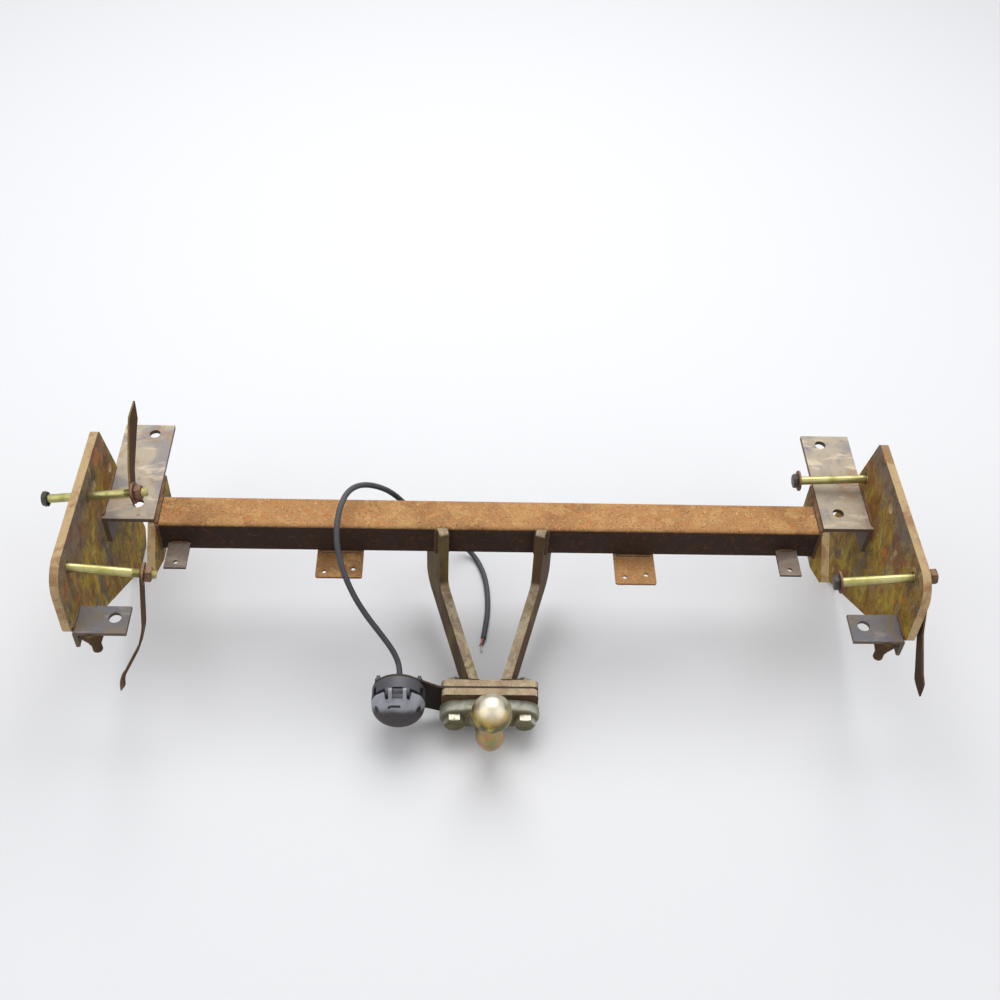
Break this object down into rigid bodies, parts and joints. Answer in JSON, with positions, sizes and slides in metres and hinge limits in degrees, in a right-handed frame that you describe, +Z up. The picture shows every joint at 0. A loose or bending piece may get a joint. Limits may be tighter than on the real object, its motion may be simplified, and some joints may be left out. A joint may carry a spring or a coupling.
{
  "type": "towbar",
  "caption": "Bolt-on towbar: a square crossbar between tall rail plates, converging arms to a flanged coupling ball, and a lidded trailer socket with its cable.",
  "frame": {"origin": "centre of the coupling ball", "axes": "+X along the crossbar to the right seen from behind the vehicle, +Y forwards towards the vehicle, +Z up through the top of the ball"},
  "size_m": [1.0818, 0.418, 0.3891],
  "materials": {
    "bar_rust": "rusted black paint, worn",
    "plate_rust": "thin rust over worn paint",
    "bracket_steel": "bare grey steel with rusty edges",
    "arm_rust": "rusted, dusty",
    "flange_rust": "rusted, dusty",
    "socket_plate_paint": "black, matt",
    "ball_steel": "passivated zinc, worn bright on top",
    "zinc_bolt": "pale zinc",
    "yellow_zinc": "yellow passivated zinc",
    "nut_rust": "light rust on zinc",
    "strap_rust": "rusted",
    "tab_steel": "thin rust",
    "tab_grey": "dull grey",
    "socket_plastic": "moulded, satin",
    "insert_plastic": "moulded, matt",
    "contact_brass": "plain",
    "rubber_black": "matt",
    "small_steel": "plain zinc",
    "cable_jacket": "matt",
    "core_jacket": "coloured insulation"
  },
  "bodies": {
    "frame": {"arm_flange_plate": "flange_rust", "arm_left": "arm_rust", "arm_right": "arm_rust", "ball_bolts": "zinc_bolt", "ball_nuts": "zinc_bolt", "bracket_bolts": "nut_rust", "bracket_nuts": "nut_rust", "cable": "cable_jacket", "cable_cores": "core_jacket", "cable_gland": "rubber_black", "crossbar": "bar_rust", "end_plate_left": "plate_rust", "end_plate_right": "plate_rust", "foot_bolts": "nut_rust", "foot_bracket_left": "bracket_steel", "foot_bracket_right": "bracket_steel", "foot_nuts": "nut_rust", "foot_stud_nuts": "nut_rust", "foot_studs": "nut_rust", "lid_hinge_pin": "small_steel", "lid_spring": "small_steel", "narrow_tab_left": "tab_grey", "narrow_tab_right": "tab_grey", "side_plate_left": "plate_rust", "side_plate_right": "plate_rust", "socket_body": "socket_plastic", "socket_contacts": "contact_brass", "socket_insert": "insert_plastic", "socket_plate": "socket_plate_paint", "socket_screw_nuts": "small_steel", "socket_screws": "small_steel", "socket_seal": "rubber_black", "spacer_plate": "flange_rust", "spring_washers": "zinc_bolt", "top_bracket_left": "bracket_steel", "top_bracket_right": "bracket_steel", "tow_ball": "ball_steel", "wide_tab_left": "tab_steel", "wide_tab_right": "tab_steel"},
    "lid": {"socket_lid": "socket_plastic"},
    "rail_bolt_left_front": {"rail_bolt_left_front": "yellow_zinc", "rail_nut_left_front": "nut_rust", "rail_strap_left_front": "strap_rust", "rail_washer_left_front": "nut_rust"},
    "rail_bolt_left_middle": {"rail_bolt_left_middle": "yellow_zinc", "rail_nut_left_middle": "nut_rust", "rail_strap_left_middle": "strap_rust", "rail_washer_left_middle": "nut_rust"},
    "rail_bolt_right_front": {"rail_bolt_right_front": "yellow_zinc", "rail_nut_right_front": "nut_rust", "rail_strap_right_front": "strap_rust", "rail_washer_right_front": "nut_rust"},
    "rail_bolt_right_rear": {"rail_bolt_right_rear": "yellow_zinc", "rail_nut_right_rear": "nut_rust", "rail_washer_right_rear": "nut_rust"}
  },
  "joints": [
    {"name": "lid_hinge", "type": "hinge", "parent": "frame", "child": "lid", "pos_m": [-0.116, 0.038, -0.01], "axis": [-1, 0, 0], "range_deg": [0, 110], "stiffness_Nm_per_rad": 0.04, "springref_deg": -34.38},
    {"name": "rail_bolt_slide_left_front", "type": "slide", "parent": "frame", "child": "rail_bolt_left_front", "axis": [-0.9925, 0, 0.1219], "range_m": [0, 0.012]},
    {"name": "rail_bolt_slide_left_middle", "type": "slide", "parent": "frame", "child": "rail_bolt_left_middle", "axis": [-0.9925, 0, -0.1219], "range_m": [-0.037, 0.051]},
    {"name": "rail_bolt_slide_right_front", "type": "slide", "parent": "frame", "child": "rail_bolt_right_front", "axis": [0.9925, 0, 0.1219], "range_m": [0, 0.073]},
    {"name": "rail_bolt_slide_right_rear", "type": "slide", "parent": "frame", "child": "rail_bolt_right_rear", "axis": [0.9981, 0, 0.061], "range_m": [0, 0.08]}
  ]
}
